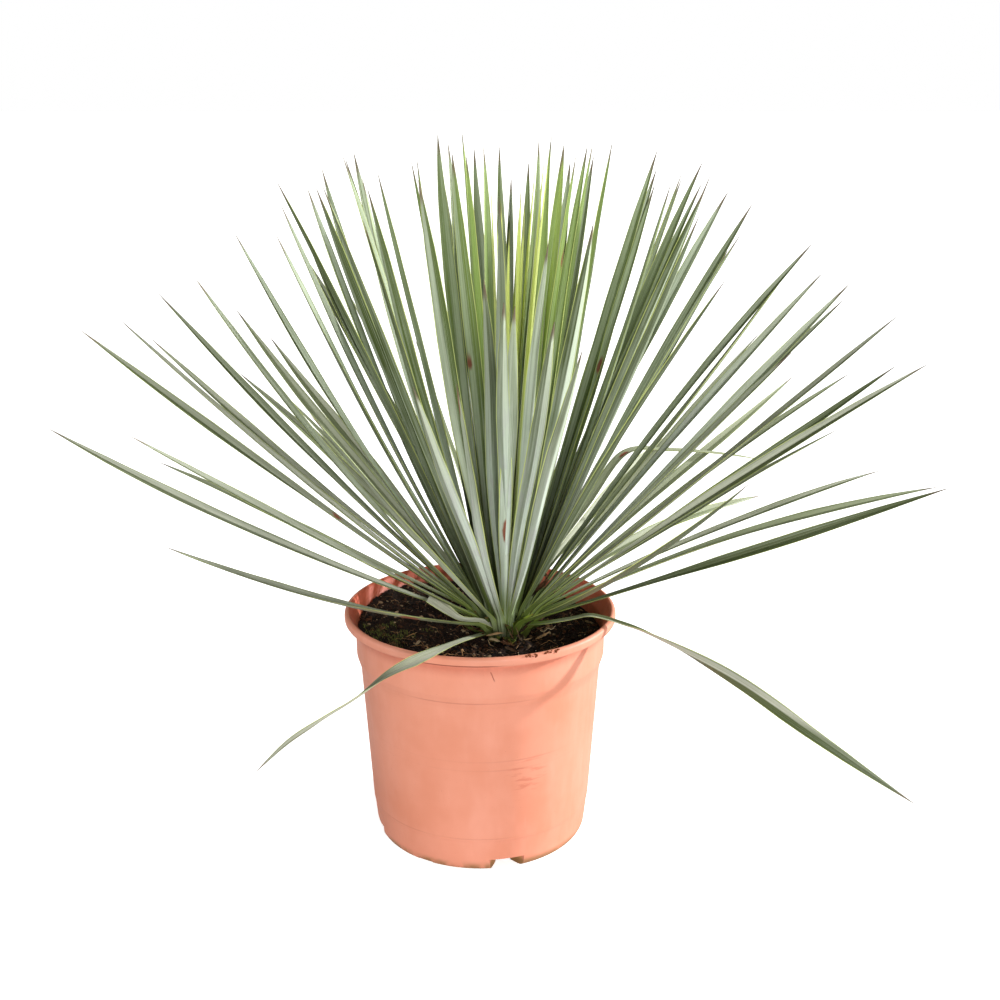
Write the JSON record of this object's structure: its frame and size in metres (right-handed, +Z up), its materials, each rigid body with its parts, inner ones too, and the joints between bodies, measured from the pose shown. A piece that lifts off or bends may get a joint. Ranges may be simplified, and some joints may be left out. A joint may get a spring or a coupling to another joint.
{
  "type": "potted beaked yucca",
  "caption": "Potted plant: dense fan of narrow, stiff, pointed grey-green leaves from a short stem in soil, in a tapered round plastic pot with a beaded rim and drain notches.",
  "frame": {"origin": "centre of the pot's underside, on the plane that it stands on", "axes": "+Z up along the pot's axis, +X towards the drooping leaf that reaches lowest and along the plant's width, +Y towards the back with the sharply bent leaf"},
  "size_m": [0.6572, 0.5985, 0.5409],
  "materials": {
    "pot_plastic": "matte terracotta-coloured moulded plastic with faint scuffs",
    "potting_soil": "dark fibrous potting mix with bark crumbs, roots and grit",
    "glaucous_leaf": "satin grey-green leaf with fine lengthwise ribs, thin yellow margins and a brown spine at the tip",
    "young_leaf": "satin yellow-green young leaf",
    "dry_sheath": "papery brown old leaf bases"
  },
  "bodies": {
    "root": {"pot": "pot_plastic", "soil": "potting_soil", "leaf_rosette": "glaucous_leaf", "heart_leaves": "young_leaf", "dry_leaf_bases": "dry_sheath"}
  },
  "joints": []
}
